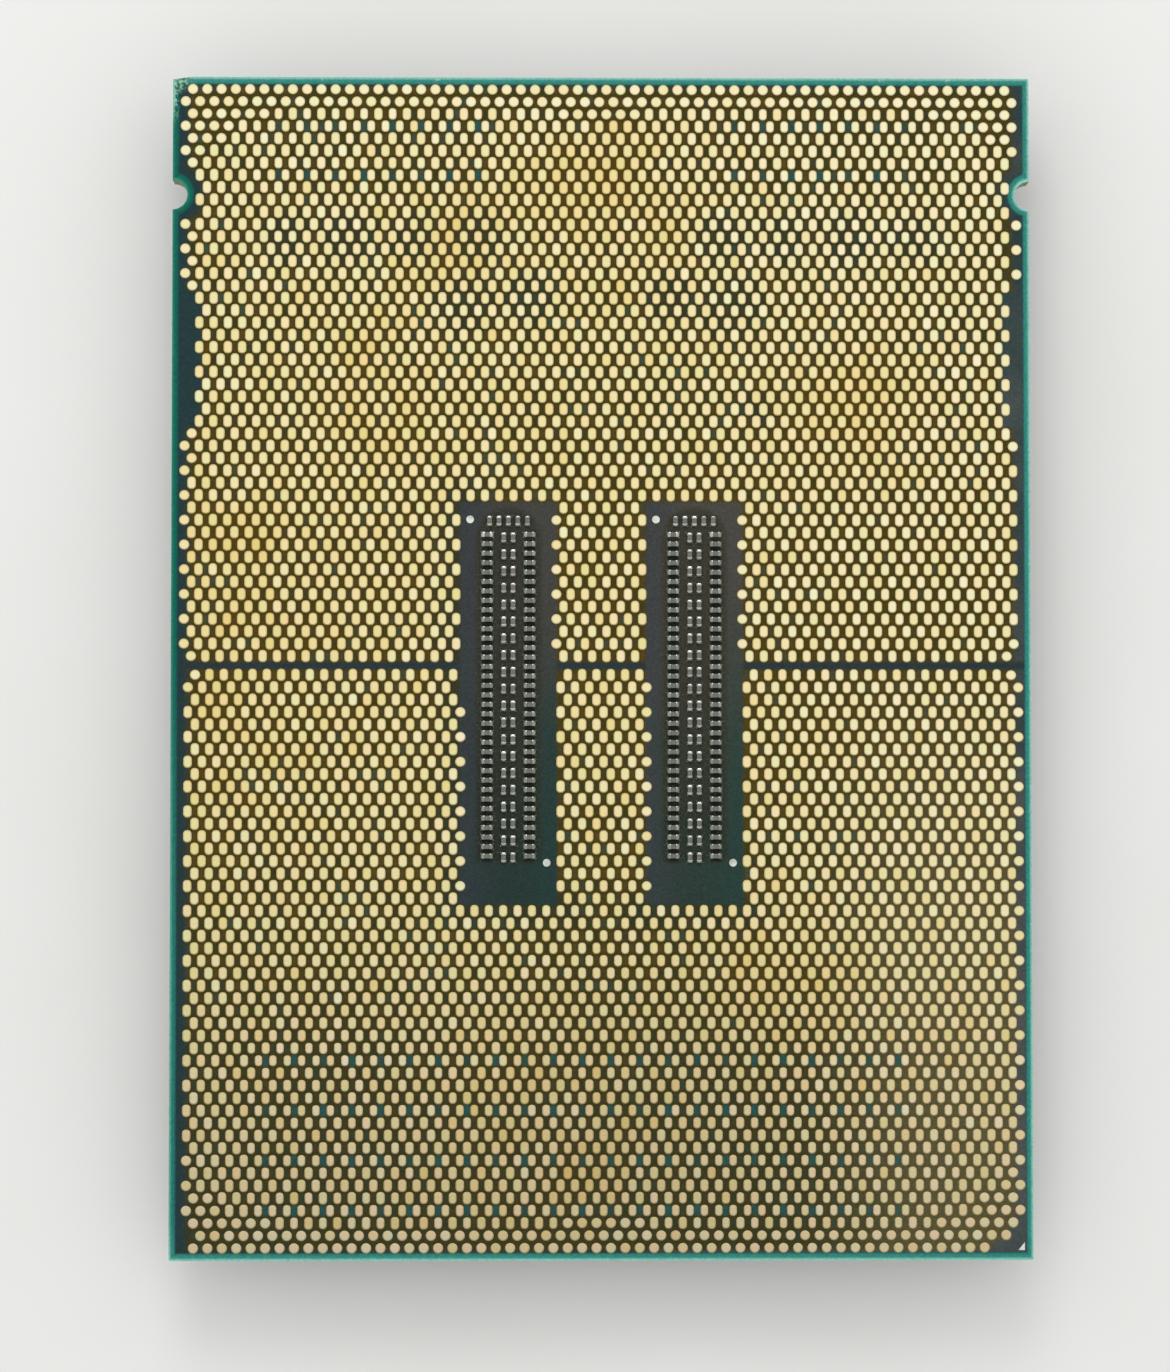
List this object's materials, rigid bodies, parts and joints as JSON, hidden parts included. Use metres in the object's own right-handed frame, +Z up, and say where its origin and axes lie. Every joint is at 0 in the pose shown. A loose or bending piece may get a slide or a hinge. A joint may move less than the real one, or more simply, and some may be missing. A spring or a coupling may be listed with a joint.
{
  "type": "server processor",
  "caption": "Server processor in a land grid array package, contact side up: gold lands in staggered rows, capacitor windows, key notches and a stepped metal lid underneath.",
  "frame": {"origin": "middle of the lid's outer face, which the part lies on", "axes": "+Z up, out of the contact side; +Y along the package towards the key notches; +X across it towards the marked corner"},
  "size_m": [0.0564, 0.0778, 0.0062],
  "materials": {
    "core": "matt cut edge of glass-fibre board",
    "buildup": "satin resin layers",
    "mask_green": "satin solder mask",
    "mask_dark": "satin solder mask over copper",
    "gold": "satin gold plate",
    "ceramic": "matt ceramic",
    "tin": "satin tin plate",
    "nickel": "satin nickel plate over copper",
    "sealant": "matt",
    "silicon": "polished silicon",
    "indium": "soft solder",
    "underfill": "gloss resin"
  },
  "bodies": {
    "root": {"substrate_core": "core", "buildup_die_side": "buildup", "buildup_land_side": "buildup", "mask_die_side": "mask_green", "mask_land_side": "mask_dark", "lands_notch_round": "gold", "lands_notch_small": "gold", "lands_notch_rows_1": "gold", "lands_notch_rows_2": "gold", "lands_notch_rows_3": "gold", "lands_notch_rows_4": "gold", "lands_mark_round": "gold", "lands_mark_small": "gold", "lands_mark_rows_1": "gold", "lands_mark_rows_2": "gold", "lands_mark_rows_3": "gold", "lands_mark_rows_4": "gold", "left_capacitor_bodies": "ceramic", "left_capacitor_ends": "tin", "right_capacitor_bodies": "ceramic", "right_capacitor_ends": "tin", "fiducials": "tin", "corner_mark": "tin", "lid": "nickel", "lid_sealant": "sealant", "die": "silicon", "thermal_interface": "indium", "underfill": "underfill", "die_capacitor_bodies": "ceramic", "die_capacitor_ends": "tin"}
  },
  "joints": []
}
